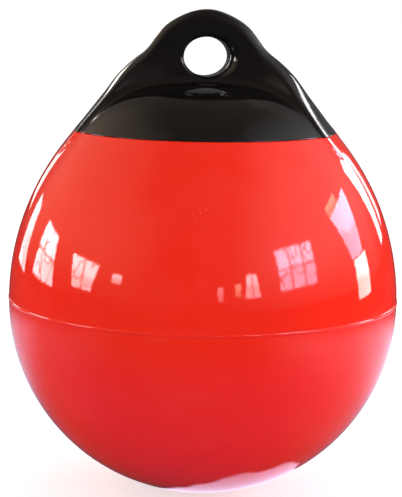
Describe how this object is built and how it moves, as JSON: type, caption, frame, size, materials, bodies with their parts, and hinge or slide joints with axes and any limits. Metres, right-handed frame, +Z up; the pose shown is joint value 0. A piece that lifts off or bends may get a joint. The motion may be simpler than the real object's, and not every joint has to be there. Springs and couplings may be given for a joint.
{
  "type": "inflatable mooring buoy",
  "caption": "Inflated red PVC ball float with a black pinched rope-eye cap and a slotted inflation valve on the back of its shoulder.",
  "frame": {"origin": "on the buoy's axis at the water level of the unloaded buoy", "axes": "+Z up along the buoy's axis towards the rope eye, the eye's hole along Y, the front towards -Y and the valve on the +Y side of the shoulder"},
  "size_m": [0.3013, 0.3014, 0.3728],
  "materials": {
    "float_pvc": "glossy inflated PVC",
    "cap_pvc": "glossy moulded PVC",
    "valve_plastic": "satin moulded nylon",
    "plug_plastic": "satin moulded nylon",
    "seal_rubber": "matt rubber"
  },
  "bodies": {
    "root": {"float_body": "float_pvc", "rope_eye_cap": "cap_pvc", "valve_insert": "valve_plastic", "valve_plug": "plug_plastic", "valve_seal": "seal_rubber"}
  },
  "joints": []
}
